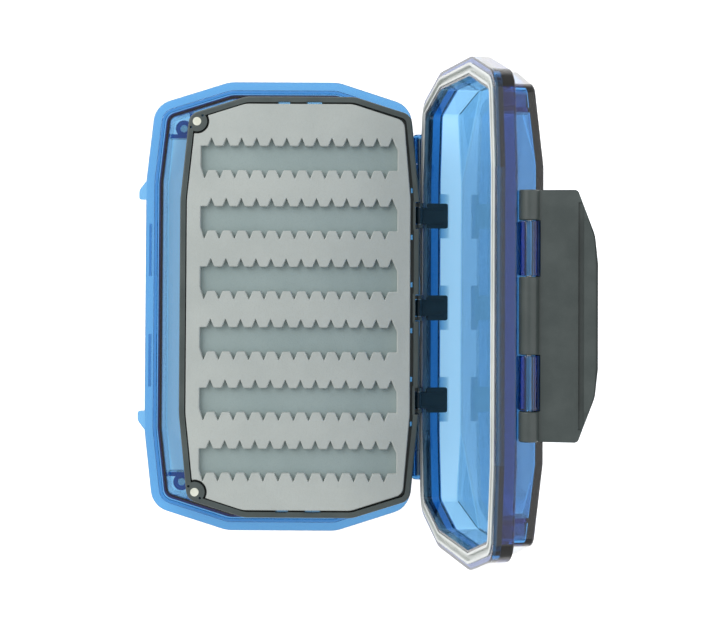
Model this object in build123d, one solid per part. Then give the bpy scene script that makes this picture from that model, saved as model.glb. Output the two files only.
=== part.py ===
from build123d import *
import math
import os

# Waterproof fly box: two hinged shells with a swinging foam leaf between them and a flip latch.
# Millimetres.  +X is the hinge side, +Y runs along the box, +Z is up.
# The origin is the centre of the base shell's flat bottom face.
# The box is built lying open: the lid stands open, the leaf lies level over the base
# and the latch hangs open on the lid.

# ---------------------------------------------------------------- driving dimensions
BASE_H = 18.0            # bottom face to rim plane
LID_H = 18.4             # rim plane to the lid's outer face
HALF_L = 92.0            # half length of the flange
HALF_W = 56.5            # flange edge on the latch side
HALF_H = 55.5            # flange edge on the hinge side
END_HALF = 22.4          # half length of the straight end edge
CORNER_X, CORNER_Y = 53.0, 82.4
SIDE_Y = 51.0            # where the side edges start to taper
CORNER_DROP = 2.2        # the outer faces fall away by this much at the four corners

OPEN_ANGLE = 101.4       # lid opening
HX, HZ = 55.8, BASE_H    # shell hinge axis (parallel to Y)
BARREL_R = 2.4
HINGE_PIN_R = 0.8
HINGE_HOLE_R = 0.85
PIN_R = 1.0              # latch pin
PIN_HOLE_R = 1.05

LAND_DROP = 0.7          # base land below the rim plane
PLATE_T = 3.9            # base flange plate
BASE_CATCH = 6.8         # catch ribs reach this far below the rim plane
GUARD_T = 3.2            # guards beside the latch
LID_FLANGE = 7.5         # depth of the lid's flange
WALL_OUT = 5.1           # body wall, inward from the flange edge
WALL_IN = 7.1
FLOOR_T = 2.2
LID_FLOOR_T = 2.6
EDGE_R = 1.2             # rounding of the outer faces' edges

TONGUE_OUT, TONGUE_IN, TONGUE_TOP = 3.6, 5.0, 0.7
GROOVE_OUT, GROOVE_IN, GROOVE_TOP = 2.25, 6.2, 3.4
CHANNEL_OUT, CHANNEL_IN, CHANNEL_TOP = 3.4, 5.2, 1.1
GASKET_PROUD = 0.4       # ridges stand this far out of the lid's rim
LID_GAP = 0.1            # lid land above the rim plane

# leaf pivot in the lid, closed position
LEAF_CLOSED_X = -0.5     # centre of the cavity
PX, PZ = 47.65, BASE_H - 1.85
LEAF_PIN_R = 0.75
BRACKET_Y = (36.9, -0.3, -37.5)

# leaf
LEAF_HALF_W, LEAF_HALF_L, LEAF_T = 48.17, 84.5, 9.1
LEAF_RING = 2.3
WEB_T = 1.4
BACKING_T, SLOTTED_T = 1.25, 2.5
WINDOW_PITCH = 24.3
NOTCH_PITCH = 6.06

# latch pivot on the lid, closed position (height above the rim plane)
KX, KV = -57.0, 11.2
LATCH_KNUCKLE_R = 3.4
LATCH_LUG_R = 3.5
LATCH_OPEN = 160.0
LATCH_HALF = 42.2
LATCH_IN, LATCH_OUT = -56.9, -59.3
LATCH_GROOVE = 16.4      # distances from the latch pivot along the closed latch
LATCH_HOOK = 18.3
LATCH_TIP = 22.9

Y_AXIS = (0, 1, 0)


# the flange outline; the hinge side is one millimetre nearer the middle than the latch side
OUTLINE = [(END_HALF, HALF_L), (-END_HALF, HALF_L), (-CORNER_X, CORNER_Y), (-HALF_W, SIDE_Y),
           (-HALF_W, -SIDE_Y), (-CORNER_X, -CORNER_Y), (-END_HALF, -HALF_L), (END_HALF, -HALF_L),
           (HALF_H - 3.5, -CORNER_Y), (HALF_H, -SIDE_Y), (HALF_H, SIDE_Y), (HALF_H - 3.5, CORNER_Y)]


# ---------------------------------------------------------------- helpers
def octagon(inset=0.0):
    radii = [14, 14, 9.5, 25, 25, 9.5, 14, 14, 9.5, 25, 25, 9.5]
    return rounded(inset_points(OUTLINE, inset), [max(r - inset, 1.0) for r in radii])


def inset_points(pts, d):
    """Points run anticlockwise; every edge moves inward by d."""
    if not d:
        return pts
    lines = []
    for i, (x1, y1) in enumerate(pts):
        x2, y2 = pts[(i + 1) % len(pts)]
        length = math.hypot(x2 - x1, y2 - y1)
        nx, ny = -(y2 - y1) / length, (x2 - x1) / length
        lines.append((nx, ny, nx * x1 + ny * y1 + d))
    out = []
    for i in range(len(pts)):
        a1, b1, c1 = lines[i - 1]
        a2, b2, c2 = lines[i]
        det = a1 * b2 - a2 * b1
        out.append(((c1 * b2 - c2 * b1) / det, (a1 * c2 - a2 * c1) / det))
    return out


def rounded(pts, radii):
    """A face with straight edges and a true arc at every corner that has a radius."""
    corners = []
    n = len(pts)
    for i in range(n):
        a, b, c = Vector(*pts[i - 1]), Vector(*pts[i]), Vector(*pts[(i + 1) % n])
        r = radii[i] if isinstance(radii, (list, tuple)) else radii
        u, v = (a - b).normalized(), (c - b).normalized()
        half = math.acos(max(-1.0, min(1.0, u.dot(v)))) / 2
        if r <= 0:
            corners.append((b, None, b))
            continue
        t = r / math.tan(half)
        corners.append((b + u * t, b + (u + v).normalized() * (r / math.sin(half) - r), b + v * t))
    edges = []
    for i in range(n):
        p, m, q = corners[i]
        if m is not None:
            edges.append(Edge.make_three_point_arc(p, m, q))
        nxt = corners[(i + 1) % n][0]
        if (nxt - q).length > 1e-6:
            edges.append(Edge.make_line(q, nxt))
    return Face(Wire(edges))


def prism(face, z0, z1):
    return Part() + Solid.extrude(Pos(0, 0, z0) * face, Vector(0, 0, z1 - z0))


def ring(outer, inner, z0, z1):
    return prism(octagon(outer), z0, z1) - prism(octagon(inner), z0 - 1, z1 + 1)


def block(x0, x1, y0, y1, z0, z1):
    return Pos((x0 + x1) / 2, (y0 + y1) / 2, (z0 + z1) / 2) * Box(x1 - x0, y1 - y0, z1 - z0)


def rod(x, z, r, y0, y1):
    return Pos(x, (y0 + y1) / 2, z) * Rot(90, 0, 0) * Cylinder(r, y1 - y0)


def round_rod(x, z, r, y0, y1, edge):
    c = Cylinder(r, y1 - y0)
    c = fillet(c.edges().filter_by(GeomType.CIRCLE), edge)
    return Pos(x, (y0 + y1) / 2, z) * Rot(90, 0, 0) * c


def soften(part, edges, *sizes):
    """Rounds the edges with the first radius that works."""
    edges = list(edges)
    for r in sizes:
        try:
            out = fillet(edges, r)
            if out.is_valid and abs(out.volume - part.volume) < 0.2 * part.volume:
                return out
        except Exception:
            pass
    print("not rounded:", len(edges), "edges")
    return part


def faceted(inset, z_rim, z_face, drop, r):
    """A prism whose far face falls away by drop at its four corners, with the far edges rounded.
    The core is drawn r smaller and then grown by r."""
    p = inset_points(OUTLINE, inset + r)
    up = 1 if z_face > z_rim else -1
    z_far, z_near = z_face - up * r, z_rim - up * 3
    core = prism(octagon(inset + r), min(z_near, z_far), max(z_near, z_far))
    for end, corner, side in ((1, 2, 3), (6, 5, 4), (7, 8, 9), (0, 11, 10)):
        a = Vector(*p[end], z_far)
        b = Vector(*p[side], z_far)
        c = Vector(*p[corner], z_far - up * drop)
        n = (b - a).cross(c - a).normalized()
        n = n if n.Z * up > 0 else -n
        core = split(core, bisect_by=Plane(origin=a, z_dir=n), keep=Keep.BOTTOM)
    grown = offset(core, amount=r, kind=Kind.ARC)
    return grown & block(-70, 70, -100, 100, min(z_rim, z_face) - (0 if up > 0 else 1), max(z_rim, z_face) + (1 if up > 0 else 0))


def open_lid(part):
    """Closed position to the open position the lid rests in."""
    return part.rotate(Axis((HX, 0, HZ), Y_AXIS), OPEN_ANGLE)


def swing(x, z, angle, cx, cz):
    a = math.radians(angle)
    dx, dz = x - cx, z - cz
    return cx + dx * math.cos(a) + dz * math.sin(a), cz - dx * math.sin(a) + dz * math.cos(a)


# ---------------------------------------------------------------- base shell
land = BASE_H - LAND_DROP
body = faceted(WALL_OUT, land, 0.0, CORNER_DROP, EDGE_R)
flange = prism(octagon(0), land - PLATE_T, land)
flange = soften(flange, flange.faces().sort_by(Axis.Z)[-1].outer_wire().edges(), 0.45, 0.4)
tongue = ring(TONGUE_OUT, TONGUE_IN, land - 0.5, BASE_H + TONGUE_TOP)
tongue = soften(tongue, tongue.faces().sort_by(Axis.Z)[-1].edges(), 0.35, 0.25)
cavity = faceted(WALL_IN, BASE_H, FLOOR_T, CORNER_DROP, 0.9)
base = body + flange + tongue - cavity

# ribs under the flange where the latch catches, and the two guards beside the latch
for s in (1, -1):
    y0, y1 = sorted((s * 12.0, s * 33.5))
    base += block(-HALF_W + 1.1, -HALF_W + 2.0, y0, y1, BASE_H - BASE_CATCH, land - PLATE_T + 0.5)
    guard = rounded([(-HALF_W + 1.0, s * 43.3), (-HALF_W - 2.8, s * 43.3), (-HALF_W - 2.8, s * 47.2),
                     (-HALF_W + 0.0, s * 51.0), (-HALF_W + 1.0, s * 51.0)][::(-1 if s > 0 else 1)],
                    [0, 1.0, 2.4, 1.2, 0][::(-1 if s > 0 else 1)])
    base += prism(guard, land - GUARD_T, land)

# corner posts for the magnets, with the ribs that brace them
POST_X, POST_Y, POST_TOP = -41.9, 73.3, BASE_H - 7.0
MAGNET_R, MAGNET_T, POST_SKIN = 1.6, 2.0, 1.6
inner = prism(octagon(WALL_IN - 0.4), FLOOR_T - 0.4, BASE_H)
# pockets in the rim for the leaf's three hinges
for yc in BRACKET_Y:
    base -= block(HALF_H - WALL_IN - 1.5, PX + 1.95, yc - 5.7, yc + 5.7, PZ - 1.95, BASE_H)
for s in (1, -1):
    y0, y1 = sorted((s * 69.2, s * 70.9))
    rib = block(-60, -37.8, y0, y1, FLOOR_T - 0.4, POST_TOP)
    y0, y1 = sorted((s * 69.2, s * 90))
    rib += block(-39.5, -37.8, y0, y1, FLOOR_T - 0.4, POST_TOP)
    post = Pos(POST_X, s * POST_Y, (FLOOR_T - 0.4 + POST_TOP) / 2) * Cylinder(3.4, POST_TOP - FLOOR_T + 0.4)
    base += (rib & inner) + post
    # the magnet is pressed in from below, under a skin of plastic
    base -= Pos(POST_X, s * POST_Y, (POST_TOP - POST_SKIN) / 2 - 0.5) * Cylinder(MAGNET_R, POST_TOP - POST_SKIN + 1)

# hinge: notches for the lid's barrels, then the base's own barrels
LID_KNUCKLES = [(32.3, 58.2), (-58.2, -32.3), (-19.7, 19.7)]
BASE_KNUCKLES = [(58.5, 70.5), (20.0, 32.0), (-70.5, -58.5), (-32.0, -20.0)]
for y0, y1 in LID_KNUCKLES:
    base -= rod(HX, HZ, BARREL_R + 0.25, y0 - 0.3, y1 + 0.3)
for y0, y1 in BASE_KNUCKLES:
    outer = abs(y0 + y1) > 100
    k = round_rod(HX, HZ, BARREL_R, y0, y1, 0.9) if outer else rod(HX, HZ, BARREL_R, y0, y1)
    base += k
    base += block(HALF_H - 2.0, HX, y0 + (1.0 if outer else 0), y1 - (1.0 if outer else 0), HZ - 4.6, HZ - 0.9)
for s in (1, -1):
    y0, y1 = sorted((s * 11.5, s * 69.0))
    base -= rod(HX, HZ, HINGE_HOLE_R, y0, y1)
base_shell = base

magnets = []
for s in (1, -1):
    magnets.append(Pos(POST_X, s * POST_Y, POST_TOP - POST_SKIN - MAGNET_T / 2) * Cylinder(MAGNET_R, MAGNET_T))

# ---------------------------------------------------------------- hinge pins
pins = [rod(HX, HZ, HINGE_PIN_R, 12.0, 68.8), rod(HX, HZ, HINGE_PIN_R, -68.8, -12.0)]

# ---------------------------------------------------------------- lid shell (built closed)
R = BASE_H
lid_body = faceted(WALL_OUT, R + LID_GAP, R + LID_H, CORNER_DROP, EDGE_R)
lid_flange = prism(octagon(0), R + LID_GAP, R + LID_FLANGE)
lid_flange = soften(lid_flange, [e for i in (0, -1) for e in lid_flange.faces().sort_by(Axis.Z)[i].outer_wire().edges()], 0.6, 0.45)
lid = lid_body + lid_flange
lid -= faceted(WALL_IN, R, R + LID_H - LID_FLOOR_T, CORNER_DROP, 0.5)
lid -= ring(GROOVE_OUT, GROOVE_IN, R - 1, R + GROOVE_TOP)

# gussets between the flange and the wall, behind the leaf brackets
for yc in BRACKET_Y:
    x = HALF_H - WALL_OUT
    gusset = Face(Wire.make_polygon([Vector(x - 0.3, yc - 9, R + 7.0), Vector(x + 2.6, yc - 9, R + 7.0),
                                     Vector(x + 2.6, yc - 9, R + 7.6), Vector(x - 0.3, yc - 9, R + 11.6)]))
    lid += Part() + Solid.extrude(gusset, Vector(0, 18, 0))

# corner posts and ribs at the free side, like the base's
lid_inner = prism(octagon(WALL_IN - 0.4), R + 3, R + LID_H - LID_FLOOR_T + 0.4)
for s in (1, -1):
    y0, y1 = sorted((s * 69.2, s * 70.9))
    rib = block(-60, -37.8, y0, y1, R + 3.4, R + LID_H - LID_FLOOR_T + 0.4)
    y0, y1 = sorted((s * 69.2, s * 90))
    rib += block(-39.5, -37.8, y0, y1, R + 3.4, R + LID_H - LID_FLOOR_T + 0.4)
    h = LID_H - LID_FLOOR_T + 0.4 - 3.4
    post = Pos(POST_X, s * POST_Y, R + 3.4 + h / 2) * Cylinder(3.4, h)
    post -= Pos(POST_X, s * POST_Y, R + 3.4) * Cylinder(MAGNET_R, 4)
    lid += (rib & lid_inner) + post

# hinge: notches for the base's barrels, then the lid's own
for y0, y1 in BASE_KNUCKLES:
    lid -= rod(HX, HZ, BARREL_R + 0.25, y0 - 0.3, y1 + 0.3)
for y0, y1 in LID_KNUCKLES:
    lid += rod(HX, HZ, BARREL_R, y0, y1)
    lid += block(HALF_H - 2.0, HX, y0, y1, HZ + 0.9, HZ + 5.0)
for s in (1, -1):
    y0, y1 = sorted((s * 11.5, s * 69.0))
    lid -= rod(HX, HZ, HINGE_HOLE_R, y0, y1)

# lugs for the latch
LUGS = [(13.4, 31.7), (-31.7, -13.4)]
for y0, y1 in LUGS:
    lug = round_rod(KX, R + KV, LATCH_LUG_R, y0, y1, 0.4)
    lug += block(KX, -HALF_W + WALL_OUT + 0.6, y0 + 0.3, y1 - 0.3, R + KV - 2.9, R + KV + 2.9)
    lug -= rod(KX, R + KV, PIN_HOLE_R, y0 - 1, y1 + 1)
    lid += lug
lid_shell = open_lid(lid)

# ---------------------------------------------------------------- gasket
gasket = ring(GROOVE_OUT, GROOVE_IN, R + LID_GAP - GASKET_PROUD, R + GROOVE_TOP)
gasket -= ring(CHANNEL_OUT, CHANNEL_IN, R - 1, R + CHANNEL_TOP)
gasket = soften(gasket, [e for f in gasket.faces().filter_by(Axis.Z).sort_by(Axis.Z)[:2] for e in f.edges()],
                0.25, 0.2, 0.15)
lid_gasket = open_lid(gasket)

# ---------------------------------------------------------------- leaf brackets and their pins
brackets, leaf_pins = [], []
BX0, BX1 = 46.9, HALF_H - WALL_IN - 0.02
for yc in BRACKET_Y:
    b = rod(PX, PZ, 1.5, yc - 3.25, yc + 3.25)
    b += block(BX0, BX1, yc - 3.25, yc + 3.25, PZ, R + 4.6)
    foot = block(BX0, BX1, yc - 5.05, yc + 5.05, R + 1.4, R + 9.9)
    foot = soften(foot, foot.edges().filter_by(Axis.X), 0.9, 0.6)
    b += foot
    for s in (1, -1):
        y0, y1 = sorted((yc + s * 2.5, yc + s * 3.1))
        b += block(BX0 - 0.4, BX0 + 0.2, y0, y1, PZ + 0.9, R + 7.6)
    b -= rod(PX, PZ, LEAF_PIN_R + 0.01, yc - 4, yc + 4)
    brackets.append(open_lid(b))
    leaf_pins.append(open_lid(rod(PX, PZ, LEAF_PIN_R, yc - 5.1, yc + 5.1)))

# ---------------------------------------------------------------- leaf (level in every lid position)
OPX, OPZ = swing(PX, PZ, OPEN_ANGLE, HX, HZ)
LEAF_X = OPX - PX + LEAF_CLOSED_X
PIVOT_X = PX - LEAF_CLOSED_X         # pivot, from the leaf's own centre
LEAF_Z = OPZ
LEAF_Y = 0.0


def leaf_outline(inset=0.0, dx=0.0):
    pts = [(21.8, LEAF_HALF_L), (-21.8, LEAF_HALF_L), (-44.7, 77.3), (-LEAF_HALF_W, 43.0),
           (-LEAF_HALF_W, -43.0), (-44.7, -77.3), (-21.8, -LEAF_HALF_L), (21.8, -LEAF_HALF_L),
           (44.7, -77.3), (LEAF_HALF_W, -43.0), (LEAF_HALF_W, 43.0), (44.7, 77.3)]
    radii = [10, 10, 5, 25, 25, 5, 10, 10, 5, 25, 25, 5]
    pts = [(x + LEAF_X + dx, y + LEAF_Y) for x, y in inset_points(pts, inset)]
    return rounded(pts, [max(r - inset, 1.2) for r in radii])


EAR_X, EAR_Y, EAR_R = -41.6, 74.4, 4.1
z_lo, z_hi = LEAF_Z - LEAF_T / 2, LEAF_Z + LEAF_T / 2
frame_ring = prism(leaf_outline(), z_lo, z_hi) - prism(leaf_outline(LEAF_RING), z_lo - 1, z_hi + 1)
web = prism(leaf_outline(LEAF_RING - 0.4), LEAF_Z - WEB_T / 2, LEAF_Z + WEB_T / 2)
leaf = frame_ring + web
whole = prism(leaf_outline(), z_lo, z_hi)
for s in (1, -1):
    ear = Pos(EAR_X + LEAF_X, s * EAR_Y + LEAF_Y, LEAF_Z) * Cylinder(EAR_R, LEAF_T)
    corner = block(EAR_X + LEAF_X - 9, EAR_X + LEAF_X, *sorted((s * EAR_Y + LEAF_Y, s * (EAR_Y + 14) + LEAF_Y)), z_lo, z_hi)
    leaf += (ear + corner) & whole
leaf = soften(leaf, [e for f in (leaf.faces().sort_by(Axis.Z)[0], leaf.faces().sort_by(Axis.Z)[-1]) for e in f.outer_wire().edges()],
              0.6, 0.4, 0.3)
# through slots in the web, in the gap between the ring and the foam
for s in (1, -1):
    for xa, xb in ((-9.2, -4.3), (2.5, 8.6)):
        leaf -= block(xa + LEAF_X, xb + LEAF_X, *sorted((s * 81.6 + LEAF_Y, s * 82.5 + LEAF_Y)), z_lo - 1, z_hi + 1)
        leaf -= block(xa + LEAF_X, xb + LEAF_X, *sorted((s * 82.0 + LEAF_Y, s * 83.3 + LEAF_Y)), z_lo - 1, z_hi - 1.6)
for y in (47.1, 28.2, 9.0, -9.5, -29.1, -47.1):
    leaf -= block(44.7 + LEAF_X, 45.5 + LEAF_X, y - 1.0, y + 1.0, z_lo, z_hi)
# magnet pockets and moulding holes in the ears
for s in (1, -1):
    leaf -= Pos(EAR_X + LEAF_X, s * EAR_Y + LEAF_Y, LEAF_Z) * Cylinder(1.72, LEAF_T + 1)
    for dx, dy in ((2.2, 2.35), (-2.4, -2.35)):
        leaf -= Pos(EAR_X + LEAF_X + dx, s * (EAR_Y + dy) + LEAF_Y, LEAF_Z) * Cylinder(0.5, LEAF_T + 1)
# hinge forks at the brackets
for yc in BRACKET_Y:
    leaf -= block(46.5 + LEAF_X, 60 + LEAF_X, yc - 5.4, yc + 5.4, z_lo - 1, z_hi + 1)
    for s in (1, -1):
        y0, y1 = sorted((yc + s * 3.5, yc + s * 5.1))
        leaf += rod(OPX, OPZ, 1.55, y0, y1)
        leaf += block(46.0 + LEAF_X, OPX, y0, y1, OPZ - 1.3, OPZ + 1.3)
        leaf -= rod(OPX, OPZ, LEAF_PIN_R + 0.06, y0 - 0.1, y1 + 0.1)
    # backing strip behind the cut ring
    leaf += block(45.5 + LEAF_X, 46.5 + LEAF_X, yc - 5.8, yc + 5.8, z_lo + 0.4, z_hi - 0.4)
leaf_frame = leaf

leaf_magnets = [Pos(EAR_X + LEAF_X, s * EAR_Y + LEAF_Y, LEAF_Z) * Cylinder(1.7, LEAF_T - 0.1) for s in (1, -1)]


# ---------------------------------------------------------------- foam
def foam_face():
    pts = [(21.0, 81.6), (-22.2, 81.6), (-42.1, 75.3), (-45.5, 43.0),
           (-45.5, -43.0), (-42.1, -75.3), (-22.2, -81.6), (21.0, -81.6),
           (41.9, -74.9), (44.55, -43.0), (44.55, 43.0), (41.9, 74.9)]
    return rounded([(x + LEAF_X, y + LEAF_Y) for x, y in pts], [10, 10, 4, 25, 25, 4, 10, 10, 4, 25, 25, 4])


def foam_sheet(z0, z1):
    sheet = prism(foam_face(), z0, z1)
    for s in (1, -1):
        sheet -= Pos(EAR_X + LEAF_X, s * EAR_Y + LEAF_Y, (z0 + z1) / 2) * Cylinder(EAR_R + 0.8, z1 - z0 + 2)
        sheet -= block(EAR_X - 20 + LEAF_X, EAR_X + LEAF_X, *sorted((s * EAR_Y + LEAF_Y, s * 95.0)), z0 - 1, z1 + 1)
        sheet -= block(EAR_X - 20 + LEAF_X, EAR_X + LEAF_X - 2, *sorted((s * 69.9 + LEAF_Y, s * 95.0)), z0 - 1, z1 + 1)
    return sheet


def window(row):
    """One row's opening: a slot with V notches along both long sides."""
    top = 64.8 - WINDOW_PITCH * row
    bottom = top - 9.7
    left, right = -39.9, 39.2
    up = [-35.35 + NOTCH_PITCH * i for i in range(13)]
    down = [-38.1 + NOTCH_PITCH * i for i in range(13)]
    m, depth = 1.35, 3.3
    pts = [(left, top)]
    for x in up:
        pts += [(x - m, top), (x, top + depth)]
        pts += [(x + m, top)] if x + m < right - 0.4 else []
    pts += [(right, top - 1.4), (right, bottom)]
    for x in reversed(down):
        pts += [(x + m, bottom), (x, bottom - depth)]
        pts += [(x - m, bottom)] if x - m > left + 0.4 else []
    pts += [(left, bottom + 1.4)]
    pts = [(x + LEAF_X, y) for x, y in pts]
    return pts[::-1]


def slotted(z0, z1):
    sheet = foam_sheet(z0, z1)
    cuts = []
    for row in range(6):
        cuts.append(prism(rounded(window(row), 0), z0 - 1, z1 + 1))
    return sheet - cuts


wz = WEB_T / 2
foam_front_backing = foam_sheet(LEAF_Z + wz, LEAF_Z + wz + BACKING_T)
foam_front_slotted = slotted(LEAF_Z + wz + BACKING_T, LEAF_Z + wz + BACKING_T + SLOTTED_T)
foam_back_backing = foam_sheet(LEAF_Z - wz - BACKING_T, LEAF_Z - wz)
foam_back_slotted = slotted(LEAF_Z - wz - BACKING_T - SLOTTED_T, LEAF_Z - wz - BACKING_T)

# ---------------------------------------------------------------- latch (built closed, then swung open)
kz = R + KV
KNUCKLES = [(-13.1, 13.1), (32.0, LATCH_HALF), (-LATCH_HALF, -32.0)]


def latch_outline(grow=0.0):
    """In the plane of the closed latch: Y across, distance s down from the pivot."""
    pts = [(-LATCH_HALF, 0.0), (LATCH_HALF, 0.0), (LATCH_HALF, 16.2), (27.0, 21.9), (17.6, LATCH_TIP),
           (-17.6, LATCH_TIP), (-27.0, 21.9), (-LATCH_HALF, 16.2)]
    return rounded(pts, [0, 0, 1.6, 12, 4, 4, 12, 1.6])


def down_face(face):
    """Turns a face drawn as (y, s) into the vertical plane x = LATCH_OUT of the closed latch."""
    return Plane(origin=(LATCH_OUT, 0, kz), x_dir=(0, 1, 0), z_dir=(1, 0, 0)).location * (face.mirror(Plane.XZ))


plate = Part() + Solid.extrude(down_face(latch_outline()), Vector(LATCH_IN - LATCH_OUT, 0, 0))
latch = plate
hook_pts = [(-36.5, LATCH_HOOK), (36.5, LATCH_HOOK), (26.0, 21.6), (17.0, LATCH_TIP - 0.7), (-17.0, LATCH_TIP - 0.7), (-26.0, 21.6)]
hook_face = rounded(hook_pts, [0.8, 0.8, 8, 2.5, 2.5, 8])
hook = Part() + Solid.extrude(down_face(hook_face), Vector(LATCH_IN - LATCH_OUT + 2.35, 0, 0))
latch += hook
latch -= block(LATCH_IN - 0.9, LATCH_IN + 0.01, -38.0, 38.0, kz - LATCH_HOOK, kz - LATCH_GROOVE)
for y0, y1 in KNUCKLES:
    latch += round_rod(KX, kz, LATCH_KNUCKLE_R, y0, y1, 0.5)
for y0, y1 in LUGS:
    latch -= rod(KX, kz, LATCH_LUG_R + 0.35, y0 - 0.3, y1 + 0.3)
    latch -= block(LATCH_OUT - 2, LATCH_IN + 2, y0 - 0.3, y1 + 0.3, kz, kz + 6)
# the plate's outer corner above the pivot is rounded off with the knuckles
latch -= block(LATCH_OUT - 1, KX - 2.0, -50, 50, kz - 0.0, kz + 6) - rod(KX, kz, LATCH_KNUCKLE_R, -51, 51)
latch -= rod(KX, kz, PIN_HOLE_R, -41.4, 41.4)
# moulding dimples on the middle knuckle; one reaches the pin
latch -= Pos(KX - 2.6, 10.3, kz - 1.9) * Sphere(0.9)
hole = Cylinder(0.7, 4.0)
latch -= Pos(KX, -10.9, kz) * Rot(0, -90 - 28, 0) * (Pos(0, 0, 2.4) * hole)


def swing_latch(part):
    return open_lid(part.rotate(Axis((KX, 0, kz), Y_AXIS), LATCH_OPEN))


latch_body = swing_latch(latch)
latch_pin = open_lid(rod(KX, kz, PIN_R, -41.2, 41.2))

# ---------------------------------------------------------------- write the pieces
parts = {
    "base_shell": base_shell,
    "base_magnet_upper": magnets[0],
    "base_magnet_lower": magnets[1],
    "hinge_pin_upper": pins[0],
    "hinge_pin_lower": pins[1],
    "lid_shell": lid_shell,
    "lid_gasket": lid_gasket,
    "leaf_bracket_upper": brackets[0],
    "leaf_bracket_middle": brackets[1],
    "leaf_bracket_lower": brackets[2],
    "leaf_pivot_pin_upper": leaf_pins[0],
    "leaf_pivot_pin_middle": leaf_pins[1],
    "leaf_pivot_pin_lower": leaf_pins[2],
    "latch_pin": latch_pin,
    "latch_body": latch_body,
    "leaf_frame": leaf_frame,
    "leaf_magnet_upper": leaf_magnets[0],
    "leaf_magnet_lower": leaf_magnets[1],
    "foam_front_slotted": foam_front_slotted,
    "foam_front_backing": foam_front_backing,
    "foam_back_slotted": foam_back_slotted,
    "foam_back_backing": foam_back_backing,
}

if __name__ == "__main__":
    os.makedirs("parts", exist_ok=True)
    for name, shape in parts.items():
        export_step(Part() + shape, f"parts/{name}.step")
    print("hinge axis", (HX, HZ), "leaf pivot open", (round(OPX, 4), round(OPZ, 4)),
          "latch pivot open", tuple(round(v, 4) for v in swing(KX, kz, OPEN_ANGLE, HX, HZ)))
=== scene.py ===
import math

import bpy
import numpy as np
from mathutils import Matrix, Vector
from mathutils.geometry import delaunay_2d_cdt


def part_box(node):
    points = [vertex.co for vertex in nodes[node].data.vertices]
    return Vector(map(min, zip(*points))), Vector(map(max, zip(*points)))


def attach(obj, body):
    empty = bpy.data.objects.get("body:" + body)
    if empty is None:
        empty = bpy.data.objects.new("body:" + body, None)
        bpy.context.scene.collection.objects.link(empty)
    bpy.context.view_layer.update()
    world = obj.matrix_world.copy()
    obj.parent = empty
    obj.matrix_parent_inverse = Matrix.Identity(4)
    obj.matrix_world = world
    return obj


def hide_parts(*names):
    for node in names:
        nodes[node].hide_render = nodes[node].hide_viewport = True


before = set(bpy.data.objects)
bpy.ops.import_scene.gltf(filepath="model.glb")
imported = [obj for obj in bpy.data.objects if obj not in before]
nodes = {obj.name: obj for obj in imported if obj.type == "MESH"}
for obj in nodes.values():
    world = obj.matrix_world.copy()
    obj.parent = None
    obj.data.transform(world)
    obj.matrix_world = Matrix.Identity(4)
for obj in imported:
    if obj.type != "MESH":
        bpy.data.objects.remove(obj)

scene = bpy.context.scene
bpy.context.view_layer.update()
MM = 0.001

# ---------------------------------------------------------------- camera
RX, RY, RZ = (math.radians(a) for a in (-1.012, -0.371, -0.283))
world_to_cam = Matrix.Rotation(RZ, 4, "Z") @ Matrix.Rotation(RY, 4, "Y") @ Matrix.Rotation(RX, 4, "X")
cam_data = bpy.data.cameras.new("camera")
cam_data.sensor_width = 36.0
cam_data.lens = 1460.868 / 720 * 36.0
cam_data.shift_y = -71.824 / 720
cam_data.clip_start, cam_data.clip_end = 0.02, 20.0
cam = bpy.data.objects.new("camera", cam_data)
scene.collection.objects.link(cam)
cam.matrix_world = Matrix.Translation(Vector((35.479, 15.695, 617.076)) * MM) @ world_to_cam.inverted()
scene.camera = cam

# ---------------------------------------------------------------- light and floor
scene.view_settings.view_transform = "Standard"
scene.view_settings.look = "None"
scene.view_settings.exposure = 0.0
scene.view_settings.gamma = 1.0
scene.cycles.max_bounces = 20
scene.cycles.transmission_bounces = 20
scene.cycles.glossy_bounces = 8
scene.cycles.diffuse_bounces = 6
scene.cycles.transparent_max_bounces = 24

world = bpy.data.worlds.new("studio")
scene.world = world
world.use_nodes = True
wn = world.node_tree
wn.nodes.clear()
w_out = wn.nodes.new("ShaderNodeOutputWorld")
w_bg = wn.nodes.new("ShaderNodeBackground")
w_bg.inputs["Color"].default_value = (1.0, 1.0, 1.0, 1.0)
w_bg.inputs["Strength"].default_value = 0.75
wn.links.new(w_bg.outputs[0], w_out.inputs["Surface"])


def area_light(name, where, target, size, power):
    data = bpy.data.lights.new(name, "AREA")
    data.shape = "SQUARE"
    data.size = size
    data.energy = power
    obj = bpy.data.objects.new(name, data)
    obj.location = where
    obj.rotation_mode = "QUATERNION"
    obj.rotation_quaternion = (Vector(target) - Vector(where)).to_track_quat("-Z", "Y")
    scene.collection.objects.link(obj)
    return obj


area_light("key", (-0.95, 0.90, 1.20), (0.02, 0.0, 0.03), 1.5, 20.0)
area_light("fill", (1.30, -0.10, 1.15), (0.02, 0.0, 0.03), 2.4, 12.0)


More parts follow.
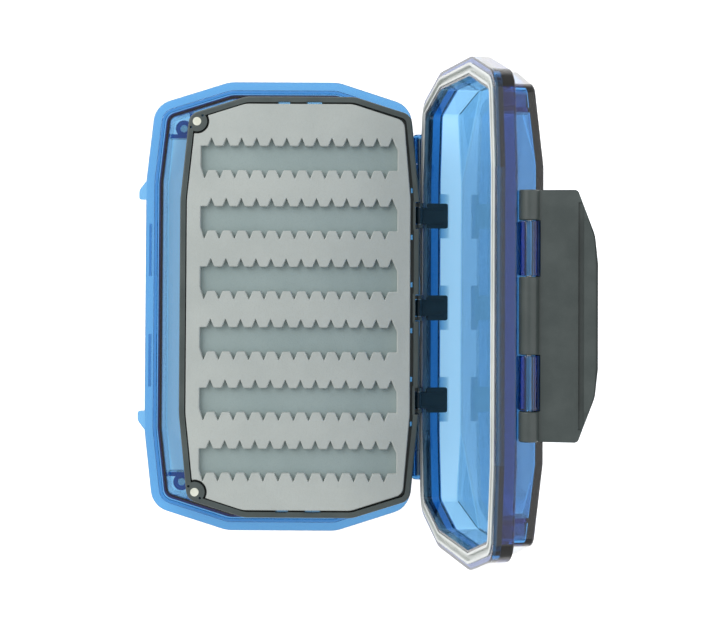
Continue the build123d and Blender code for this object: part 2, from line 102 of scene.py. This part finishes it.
# ---------------------------------------------------------------- node helpers
class Mat:
    """A material under construction: a Principled shader and small helpers."""

    def __init__(self, name):
        self.m = bpy.data.materials.new(name)
        self.m.use_nodes = True
        self.nt = self.m.node_tree
        self.nt.nodes.clear()
        self.out = self.nt.nodes.new("ShaderNodeOutputMaterial")
        self.p = self.nt.nodes.new("ShaderNodeBsdfPrincipled")
        self.nt.links.new(self.p.outputs[0], self.out.inputs["Surface"])
        self.tc = self.nt.nodes.new("ShaderNodeTexCoord")

    def node(self, kind, **inputs):
        n = self.nt.nodes.new(kind)
        for k, v in inputs.items():
            k = k.replace("_", " ")
            if k in n.inputs:
                n.inputs[k].default_value = v
        return n

    def link(self, a, b):
        self.nt.links.new(a, b)

    def coords(self, scale=(1, 1, 1), rotation=(0, 0, 0)):
        n = self.nt.nodes.new("ShaderNodeMapping")
        n.inputs["Scale"].default_value = scale
        n.inputs["Rotation"].default_value = rotation
        self.link(self.tc.outputs["Object"], n.inputs["Vector"])
        return n.outputs[0]

    def noise(self, scale, detail=3.0, rough=0.55, vector=None, distortion=0.0):
        n = self.node("ShaderNodeTexNoise", Scale=scale, Detail=detail, Roughness=rough, Distortion=distortion)
        self.link(vector or self.tc.outputs["Object"], n.inputs["Vector"])
        return n.outputs["Fac"]

    def ramp(self, value, lo, hi, a=0.0, b=1.0, smooth=True):
        n = self.nt.nodes.new("ShaderNodeMapRange")
        n.interpolation_type = "SMOOTHSTEP" if smooth else "LINEAR"
        for name, v in (("From Min", lo), ("From Max", hi), ("To Min", a), ("To Max", b)):
            n.inputs[name].default_value = v
        self.link(value, n.inputs["Value"])
        return n.outputs["Result"]

    def math(self, op, a, b=None, clamp=False):
        n = self.nt.nodes.new("ShaderNodeMath")
        n.operation = op
        n.use_clamp = clamp
        for i, v in enumerate((a, b)):
            if v is None:
                continue
            if isinstance(v, (int, float)):
                n.inputs[i].default_value = v
            else:
                self.link(v, n.inputs[i])
        return n.outputs[0]

    def mix(self, fac, a, b):
        n = self.nt.nodes.new("ShaderNodeMix")
        n.data_type = "RGBA"
        for socket, v in ((n.inputs["Factor"], fac), (n.inputs[6], a), (n.inputs[7], b)):
            if isinstance(v, (int, float)):
                socket.default_value = v
            elif isinstance(v, tuple):
                socket.default_value = (*v, 1.0) if len(v) == 3 else v
            else:
                self.link(v, socket)
        return n.outputs[2]

    def bump(self, height, strength, distance, normal=None):
        n = self.node("ShaderNodeBump", Strength=strength, Distance=distance)
        self.link(height, n.inputs["Height"])
        if normal is not None:
            self.link(normal, n.inputs["Normal"])
        return n.outputs[0]

    def set(self, **inputs):
        for k, v in inputs.items():
            s = self.p.inputs[k.replace("_", " ")]
            if isinstance(v, (int, float)):
                s.default_value = v
            elif isinstance(v, tuple):
                s.default_value = (*v, 1.0) if len(v) == 3 and s.type == "RGBA" else v
            else:
                self.link(v, s)
        return self


# ---------------------------------------------------------------- materials
def clear_blue():
    """Tinted polycarbonate: clear, with a colour that deepens with thickness."""
    m = Mat("clear_blue_polycarbonate")
    handling = m.ramp(m.noise(38.0, 3.0, 0.6), 0.50, 0.78)
    streak = m.ramp(m.noise(900.0, 2.0, 0.5, m.coords((1.0, 0.06, 1.0), (0.0, 0.0, 0.5))), 0.66, 0.80)
    rough = m.math("ADD", m.math("MULTIPLY", handling, 0.035), m.math("MULTIPLY", streak, 0.03))
    m.set(Base_Color=(0.97, 0.985, 1.0), Roughness=m.math("ADD", rough, 0.035), IOR=1.57,
          Transmission_Weight=1.0)
    flow = m.bump(m.noise(55.0, 2.0, 0.4), 0.12, 0.0006)
    m.set(Normal=m.bump(m.noise(420.0, 2.0, 0.5), 0.05, 0.0002, flow))
    vol = m.nt.nodes.new("ShaderNodeVolumeAbsorption")
    vol.inputs["Color"].default_value = (0.0, 0.50, 0.765, 1.0)
    vol.inputs["Density"].default_value = 620.0
    m.link(vol.outputs[0], m.out.inputs["Volume"])
    return m.m


def grey_plastic(name, tone=1.0, grain=1.0, seed=0.0, painted_shade_tint=(1.0, 1.0, 1.0)):
    """Moulded dark grey-green plastic with a fine spark texture and faint rub marks; a tint below white darkens a copy
    as painted shade.
    """
    m = Mat(name)
    shade = lambda r, g, b: (r * tone * painted_shade_tint[0], g * tone * painted_shade_tint[1], b * tone * painted_shade_tint[2])
    base, paler_tone, worn = shade(0.047, 0.064, 0.062), shade(0.064, 0.083, 0.080), shade(0.105, 0.125, 0.122)
    cloud = m.noise(60.0 + seed, 4.0, 0.6)
    speck = m.noise(2600.0, 2.0, 0.6)
    colour = m.mix(m.ramp(cloud, 0.35, 0.7), base, paler_tone)
    colour = m.mix(m.math("MULTIPLY", m.ramp(speck, 0.55, 0.75), 0.22), colour, worn)
    scuff = m.ramp(m.noise(700.0, 3.0, 0.55, m.coords((1.0, 0.12, 1.0), (0.0, 0.0, 0.3 + seed * 0.01))), 0.64, 0.74)
    scuff = m.math("MULTIPLY", scuff, m.ramp(m.noise(45.0, 2.0), 0.5, 0.7))
    colour = m.mix(m.math("MULTIPLY", scuff, 0.35), colour, worn)
    rough = m.math("ADD", m.ramp(cloud, 0.3, 0.75, 0.32, 0.42), m.math("MULTIPLY", scuff, -0.08))
    m.set(Base_Color=colour, Roughness=rough, IOR=1.5)
    grainy = m.bump(speck, 0.20 * grain, 0.00006)
    m.set(Normal=m.bump(m.noise(160.0, 2.0), 0.10, 0.0001, grainy))
    return m.m


def foam_material(name, low, high, cell=1500.0, strength=0.5):
    """Closed-cell foam: matte, finely pitted, a little uneven in colour, with painted shade darkening the pits."""
    m = Mat(name)
    cells = m.node("ShaderNodeTexVoronoi", Scale=cell, Randomness=1.0)
    cells.feature = "F1"
    m.link(m.tc.outputs["Object"], cells.inputs["Vector"])
    pit = m.ramp(cells.outputs["Distance"], 0.0, 0.55)
    cloud = m.ramp(m.noise(32.0, 4.0, 0.6), 0.3, 0.72)
    fine = m.noise(3200.0, 3.0, 0.6)
    colour = m.mix(cloud, low, high)
    dark = tuple(c * 0.80 for c in low)
    colour = m.mix(m.math("MULTIPLY", m.ramp(fine, 0.52, 0.72), 0.25), colour, dark)
    # Painted shade: the colour darkens towards the middle of each pit, where the bump sinks the surface.
    colour = m.mix(m.math("MULTIPLY", m.math("SUBTRACT", 1.0, pit), 0.18), colour, dark)
    m.set(Base_Color=colour, Roughness=m.ramp(fine, 0.3, 0.7, 0.78, 0.92), IOR=1.4,
          Specular_IOR_Level=0.25, Sheen_Weight=0.12, Sheen_Roughness=0.6)
    soft = m.bump(m.noise(120.0, 3.0, 0.5), 0.25, 0.0003)
    m.set(Normal=m.bump(m.math("ADD", m.math("MULTIPLY", pit, 0.7), m.math("MULTIPLY", fine, 0.5)), strength, 0.00008, soft))
    return m.m


def seal_rubber():
    """Pale silicone seal, soft sheen, dust in the folds; its buried part is dark where no light reaches it."""
    m = Mat("pale_silicone_seal")
    cloud = m.ramp(m.noise(70.0, 3.0, 0.6), 0.35, 0.7)
    colour = m.mix(cloud, (0.52, 0.545, 0.53), (0.60, 0.62, 0.60))
    dust = m.ramp(m.noise(2200.0, 3.0, 0.6), 0.60, 0.78)
    colour = m.mix(m.math("MULTIPLY", dust, 0.25), colour, (0.42, 0.43, 0.41))
    depth = m.nt.nodes.new("ShaderNodeVectorMath")
    depth.operation = "DOT_PRODUCT"
    depth.inputs[1].default_value = (0.98027, 0.0, -0.19766)
    m.link(m.tc.outputs["Object"], depth.inputs[0])
    level = 0.0558 * 0.98027 - 0.018 * 0.19766
    buried = m.ramp(depth.outputs["Value"], level + 0.0013, level + 0.0019)
    colour = m.mix(buried, colour, (0.010, 0.020, 0.035))
    m.set(Base_Color=colour, Roughness=m.ramp(cloud, 0.0, 1.0, 0.42, 0.52), IOR=1.42)
    m.set(Normal=m.bump(m.noise(1500.0, 2.0), 0.10, 0.00006))
    return m.m


def steel():
    """Drawn steel wire: fine lines round the pin, slightly dulled."""
    m = Mat("drawn_steel")
    lines = m.noise(1400.0, 2.0, 0.6, m.coords((1.0, 0.04, 1.0)))
    tone = m.ramp(m.noise(90.0, 3.0), 0.3, 0.7)
    colour = m.mix(tone, (0.50, 0.50, 0.49), (0.66, 0.66, 0.64))
    m.set(Base_Color=colour, Metallic=1.0, Roughness=m.ramp(lines, 0.3, 0.7, 0.24, 0.40))
    m.set(Normal=m.bump(lines, 0.15, 0.00003))
    return m.m


def magnet(name, low, high, metallic, rough):
    """Plated disc: satin, with faint clouding and pin-prick marks."""
    m = Mat(name)
    spots = m.ramp(m.noise(1800.0, 3.0, 0.6), 0.62, 0.76)
    tone = m.ramp(m.noise(260.0, 3.0), 0.3, 0.7)
    colour = m.mix(tone, low, high)
    colour = m.mix(m.math("MULTIPLY", spots, 0.5), colour, tuple(0.6 * c for c in low))
    m.set(Base_Color=colour, Metallic=metallic,
          Roughness=m.math("ADD", m.ramp(tone, 0.0, 1.0, rough, rough + 0.08), m.math("MULTIPLY", spots, 0.2)))
    m.set(Normal=m.bump(m.noise(900.0, 2.0), 0.12, 0.00005))
    return m.m


def floor_material():
    """Pale sheet, lit from below near the middle like a light table."""
    m = Mat("pale_floor")
    cloud = m.noise(2.0, 3.0)
    away = m.nt.nodes.new("ShaderNodeVectorMath")
    away.operation = "LENGTH"
    m.link(m.tc.outputs["Object"], away.inputs[0])
    glow = m.ramp(away.outputs["Value"], 0.40, 1.0, 0.70, 0.0)
    m.set(Base_Color=m.mix(cloud, (0.90, 0.90, 0.90), (0.93, 0.93, 0.93)), Roughness=0.95, Specular_IOR_Level=0.1,
          Emission_Color=(1.0, 1.0, 1.0), Emission_Strength=glow)
    m.set(Normal=m.bump(m.noise(400.0, 2.0), 0.02, 0.0001))
    return m.m


BLUE = clear_blue()
GREY = grey_plastic("dark_grey_plastic", 0.86)
# Painted shade: the brackets get a darker, blue-tinted copy of the grey plastic, standing in for the shade and blue
# light they get inside the lid.
BRACKET_PAINTED_SHADE = grey_plastic("bracket_plastic_painted_shade", 0.9, 0.7, 7.0, (0.15, 0.38, 0.60))
for n in BRACKET_PAINTED_SHADE.node_tree.nodes:
    if n.type == "BSDF_PRINCIPLED":
        n.inputs["Specular IOR Level"].default_value = 0.32
LATCH = grey_plastic("dark_latch_plastic", 0.70, 1.2, 13.0)
RUBBER = seal_rubber()
STEEL = steel()
MAGNET = magnet("plated_magnet", (0.58, 0.60, 0.51), (0.70, 0.72, 0.63), 0.35, 0.50)
# Painted light: the magnets under the post tops get a brighter, more mirror-like copy of the plated finish, standing
# in for light that hardly reaches them.
POST_MAGNET_PAINTED_LIGHT = magnet("plated_magnet_painted_light", (0.84, 0.85, 0.83), (0.94, 0.95, 0.93), 1.0, 0.14)
FOAM = foam_material("pale_grey_foam", (0.375, 0.405, 0.388), (0.415, 0.445, 0.425))
BACKING = foam_material("blue_grey_foam", (0.250, 0.312, 0.308), (0.280, 0.342, 0.338), 1300.0, 0.4)

finish_of = {
    "base_shell": BLUE, "lid_shell": BLUE, "lid_gasket": RUBBER, "leaf_frame": GREY, "latch_body": LATCH,
    "leaf_bracket_upper": BRACKET_PAINTED_SHADE, "leaf_bracket_middle": BRACKET_PAINTED_SHADE, "leaf_bracket_lower": BRACKET_PAINTED_SHADE,
    "hinge_pin_upper": STEEL, "hinge_pin_lower": STEEL, "latch_pin": STEEL,
    "leaf_pivot_pin_upper": STEEL, "leaf_pivot_pin_middle": STEEL, "leaf_pivot_pin_lower": STEEL,
    "base_magnet_upper": MAGNET, "base_magnet_lower": MAGNET, "leaf_magnet_upper": MAGNET, "leaf_magnet_lower": MAGNET,
    "foam_front_slotted": FOAM, "foam_back_slotted": FOAM, "foam_front_backing": BACKING, "foam_back_backing": BACKING,
}
for name, material in finish_of.items():
    for slot in nodes[name].material_slots:
        slot.material = material


# ---------------------------------------------------------------- foam sheets
LEAF_X = 7.4474


def rounded_loop(pts, radii, step=0.28):
    """Points of a closed outline whose corners are true arcs."""
    out = []
    n = len(pts)
    for i in range(n):
        a, b, c = (np.array(pts[j % n], float) for j in (i - 1, i, i + 1))
        r = radii[i]
        u, v = (a - b) / np.linalg.norm(a - b), (c - b) / np.linalg.norm(c - b)
        half = math.acos(max(-1.0, min(1.0, float(u @ v)))) / 2
        if r <= 0 or half > 1.55:
            out.append(b)
            continue
        t = r / math.tan(half)
        limit = 0.46 * min(np.linalg.norm(a - b), np.linalg.norm(c - b))
        if t > limit:
            t, r = limit, limit * math.tan(half)
        centre = b + (u + v) / np.linalg.norm(u + v) * (r / math.sin(half))
        p, q = b + u * t, b + v * t
        a0, a1 = math.atan2(*(p - centre)[::-1]), math.atan2(*(q - centre)[::-1])
        d = (a1 - a0 + math.pi) % (2 * math.pi) - math.pi
        k = max(2, int(abs(d) * r / step) + 1, int(abs(d) / 0.45) + 1)
        out += [centre + r * np.array((math.cos(a0 + d * s / k), math.sin(a0 + d * s / k))) for s in range(k + 1)]
    return np.array(out)


def divided(loop, longest):
    out = []
    for i in range(len(loop)):
        a, b = loop[i], loop[(i + 1) % len(loop)]
        k = max(1, int(math.ceil(np.linalg.norm(b - a) / longest)))
        out += [a + (b - a) * s / k for s in range(k)]
    return np.array(out)


def node_outline(name):
    """The outer loop of a CAD sheet's upper face, in millimetres."""
    me = nodes[name].data
    top = max(v.co.z for v in me.vertices)
    key = lambda i: (round(me.vertices[i].co.x * 1e6), round(me.vertices[i].co.y * 1e6))
    count = {}
    for poly in me.polygons:
        if poly.normal.z < 0.99 or abs(poly.center.z - top) > 2e-5:
            continue
        vs = [key(i) for i in poly.vertices]
        for a, b in zip(vs, vs[1:] + vs[:1]):
            if (b, a) in count:
                del count[(b, a)]
            else:
                count[(a, b)] = True
    after = {a: b for a, b in count}
    start = min(after)
    loop, here = [start], after[start]
    while here != start:
        loop.append(here)
        here = after[here]
    return np.array(loop, float) / 1000.0


def window(row):
    """One row's opening with its V notches, and a radius for each corner."""
    top = 64.5 - 24.3 * row
    bottom = top - 9.7
    left, right = -39.9, 39.2
    half, depth = 1.42, 3.35
    pts, radii = [(left, top)], [0.25]
    for i in range(13):
        x = -35.68 + 6.06 * i
        pts += [(x - half, top), (x, top + depth)]
        radii += [0.70, 0.08]
        if x + half < right - 0.4:
            pts.append((x + half, top))
            radii.append(0.70)
    pts += [(right, top - 1.4), (right, bottom)]
    radii += [1.2, 0.25]
    for i in reversed(range(13)):
        x = -38.42 + 6.06 * i
        pts += [(x + half, bottom), (x, bottom - depth)]
        radii += [0.70, 0.08]
        if x - half > left + 0.4:
            pts.append((x - half, bottom))
            radii.append(0.70)
    pts.append((left, bottom + 1.4))
    radii.append(1.2)
    return rounded_loop([(x + LEAF_X, y) for x, y in pts], radii)


def inside(points, loops):
    odd = np.zeros(len(points), bool)
    x, y = points[:, 0], points[:, 1]
    for loop in loops:
        nxt = np.roll(loop, -1, axis=0)
        for (x1, y1), (x2, y2) in zip(loop, nxt):
            if y1 == y2:
                continue
            hit = (y1 > y) != (y2 > y)
            odd ^= hit & (x < (x2 - x1) * (y - y1) / (y2 - y1) + x1)
    return odd


def distance(points, loops, reach=2.4):
    """Distance of each point to the nearest edge of any loop, cut off at reach."""
    out = np.full(len(points), reach)
    for loop in loops:
        lo, hi = loop.min(0) - reach, loop.max(0) + reach
        near = np.nonzero(((points > lo) & (points < hi)).all(1))[0]
        a = loop
        d = np.roll(loop, -1, axis=0) - loop
        dd = np.maximum((d * d).sum(1), 1e-12)
        for i in range(0, len(near), 1500):
            k = near[i:i + 1500]
            px, py = points[k, 0][:, None] - a[:, 0], points[k, 1][:, None] - a[:, 1]
            t = np.clip((px * d[:, 0] + py * d[:, 1]) / dd, 0, 1)
            qx, qy = px - t * d[:, 0], py - t * d[:, 1]
            out[k] = np.minimum(out[k], np.sqrt((qx * qx + qy * qy).min(1)))
    return out


def wave_noise(x, y, seed):
    """A smooth, repeatable unevenness between about -1 and 1."""
    rng = np.random.RandomState(seed)
    total = np.zeros_like(x)
    for _ in range(14):
        k = rng.uniform(0.04, 0.35)
        a, ph = rng.uniform(0, 2 * math.pi, 2)
        total += np.sin((x * math.cos(a) + y * math.sin(a)) * k * 2 * math.pi / 6 + ph)
    return total / 5.0


def foam_piece(name, outline_node, z_seat, z_face, holes, edge_r, seed, grid):
    """A closed sheet from z_seat (where it is glued) to z_face (its shown side), with rounded cut edges."""
    sign = 1.0 if z_face > z_seat else -1.0
    outer = divided(rounded_sequence(node_outline(outline_node)), 0.9)
    if signed_area(outer) < 0:
        outer = outer[::-1]
    loops = [outer]
    for h in holes:
        h = divided(h, 0.9)
        loops.append(h[::-1] if signed_area(h) > 0 else h)
    rim = np.concatenate(loops)
    edges, base = [], 0
    for l in loops:
        n = len(l)
        edges += [(base + i, base + (i + 1) % n) for i in range(n)]
        base += n
    inner = []
    for d in (0.12, 0.3, edge_r, edge_r * 1.6):
        for l in loops:
            t = np.roll(l, -1, axis=0) - np.roll(l, 1, axis=0)
            t /= np.maximum(np.linalg.norm(t, axis=1, keepdims=True), 1e-9)
            inner.append(np.column_stack([l + np.column_stack((-t[:, 1], t[:, 0])) * d, np.full(len(l), d)]))
    inner = np.concatenate(inner)
    far = distance(inner[:, :2], loops)
    inner = inner[(far > inner[:, 2] * 0.9) & inside(inner[:, :2], loops)][:, :2]
    xs = np.arange(outer[:, 0].min(), outer[:, 0].max(), grid)
    ys = np.arange(outer[:, 1].min(), outer[:, 1].max(), grid * 0.866)
    gx, gy = np.meshgrid(xs, ys)
    gx = gx + (np.arange(len(ys)) % 2)[:, None] * grid / 2
    field = np.column_stack((gx.ravel(), gy.ravel()))
    field = field[inside(field, loops)]
    field = field[distance(field, loops) > edge_r * 2.1]
    pts = np.concatenate((rim, inner, field))
    made = delaunay_2d_cdt([Vector(p) for p in pts], edges, [], 0, 1e-5, True)
    coords = np.array([tuple(v) for v in made[0]])
    faces = np.array([f for f in made[2] if len(f) == 3])
    centre = coords[faces].mean(1)
    faces = faces[inside(centre, loops)]
    e1, e2 = coords[faces[:, 1]] - coords[faces[:, 0]], coords[faces[:, 2]] - coords[faces[:, 0]]
    flip = e1[:, 0] * e2[:, 1] - e1[:, 1] * e2[:, 0] < 0
    faces[flip] = faces[flip][:, ::-1]
    used = np.unique(faces)
    back = np.full(len(coords), -1)
    back[used] = np.arange(len(used))
    coords, faces = coords[used], back[faces]
    n = len(coords)
    d = distance(coords, loops)
    drop = np.where(d < edge_r, edge_r - np.sqrt(np.maximum(edge_r ** 2 - (edge_r - d) ** 2, 0)), 0.0)
    uneven = wave_noise(coords[:, 0], coords[:, 1], seed)
    drop = drop + 0.035 * (1 + uneven) * np.clip(d / 1.5, 0.25, 1.0)
    z_shown = z_face - sign * drop
    top = np.column_stack((coords, z_shown))
    seat = np.column_stack((coords, np.full(n, z_seat)))
    # boundary edges of the triangulation become the side walls
    seen = {}
    for f in faces:
        for a, b in ((f[0], f[1]), (f[1], f[2]), (f[2], f[0])):
            if (b, a) in seen:
                del seen[(b, a)]
            else:
                seen[(a, b)] = True
    polys = []
    for f in faces:
        polys.append((f[0], f[1], f[2]) if sign > 0 else (f[2], f[1], f[0]))
        polys.append((f[2] + n, f[1] + n, f[0] + n) if sign > 0 else (f[0] + n, f[1] + n, f[2] + n))
    for a, b in seen:
        polys.append((a, a + n, b + n, b) if sign > 0 else (b, b + n, a + n, a))
    me = bpy.data.meshes.new(name)
    me.from_pydata((np.concatenate((top, seat)) * MM).tolist(), [], [tuple(int(i) for i in p) for p in polys])
    me.update()
    me.shade_smooth()
    me.set_sharp_from_angle(angle=math.radians(48))
    obj = bpy.data.objects.new(name, me)
    scene.collection.objects.link(obj)
    return obj


def signed_area(loop):
    nxt = np.roll(loop, -1, axis=0)
    return float((loop[:, 0] * nxt[:, 1] - nxt[:, 0] * loop[:, 1]).sum() / 2)


def rounded_sequence(loop):
    """Drops points that lie closer than 0.05 mm to the one before."""
    keep = [loop[0]]
    for p in loop[1:]:
        if np.linalg.norm(p - keep[-1]) > 0.05:
            keep.append(p)
    if np.linalg.norm(keep[0] - keep[-1]) < 0.05:
        keep.pop()
    return np.array(keep)


zf = {side: (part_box(f"foam_{side}_slotted")[0].z / MM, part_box(f"foam_{side}_slotted")[1].z / MM) for side in ("front", "back")}
zb = {side: (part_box(f"foam_{side}_backing")[0].z / MM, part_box(f"foam_{side}_backing")[1].z / MM) for side in ("front", "back")}
windows = [window(row) for row in range(6)]
grid = 1.6
for k, side in enumerate(("front", "back")):
    seat, face = zf[side] if side == "front" else zf[side][::-1]
    sheet = foam_piece(f"slotted_foam_{side}", f"foam_{side}_backing", seat, face, windows, 0.42, 11 + k, grid)
    sheet.data.materials.append(FOAM)
    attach(sheet, "leaf")
    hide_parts(f"foam_{side}_slotted")
    seat, face = zb[side] if side == "front" else zb[side][::-1]
    sheet = foam_piece(f"backing_foam_{side}", f"foam_{side}_backing", seat, face, [], 0.2, 31 + k, grid * 1.4)
    sheet.data.materials.append(BACKING)
    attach(sheet, "leaf")
    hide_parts(f"foam_{side}_backing")

# ---------------------------------------------------------------- magnets under the post tops
def small_disc(name, node):
    """A bevelled disc that stays a hair inside the CAD magnet, so its top shows through the clear skin."""
    lo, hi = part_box(node)
    cx, cy, r = (lo.x + hi.x) / 2, (lo.y + hi.y) / 2, (hi.x - lo.x) / 2 - 0.00003
    z0, z1, n = lo.z + 0.00002, hi.z - 0.00005, 48
    rings = [(r - 0.00015, z0), (r, z0 + 0.00015), (r, z1 - 0.00015), (r - 0.00015, z1)]
    verts = [(cx + q * math.cos(2 * math.pi * i / n), cy + q * math.sin(2 * math.pi * i / n), z) for q, z in rings for i in range(n)]
    polys = [tuple(reversed(range(n))), tuple(range(3 * n, 4 * n))]
    polys += [(k * n + i, k * n + (i + 1) % n, (k + 1) * n + (i + 1) % n, (k + 1) * n + i) for k in range(3) for i in range(n)]
    me = bpy.data.meshes.new(name)
    me.from_pydata(verts, [], polys)
    me.update()
    obj = bpy.data.objects.new(name, me)
    scene.collection.objects.link(obj)
    me.materials.append(POST_MAGNET_PAINTED_LIGHT)
    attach(obj, "base")
    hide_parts(node)


small_disc("post_magnet_upper", "base_magnet_upper")
small_disc("post_magnet_lower", "base_magnet_lower")

# ---------------------------------------------------------------- floor
fm = bpy.data.meshes.new("floor")
s = 6.0
fm.from_pydata([(-s, -s, -0.0003), (s, -s, -0.0003), (s, s, -0.0003), (-s, s, -0.0003)], [], [(0, 1, 2, 3)])
floor = bpy.data.objects.new("floor", fm)
fm.materials.append(floor_material())
scene.collection.objects.link(floor)
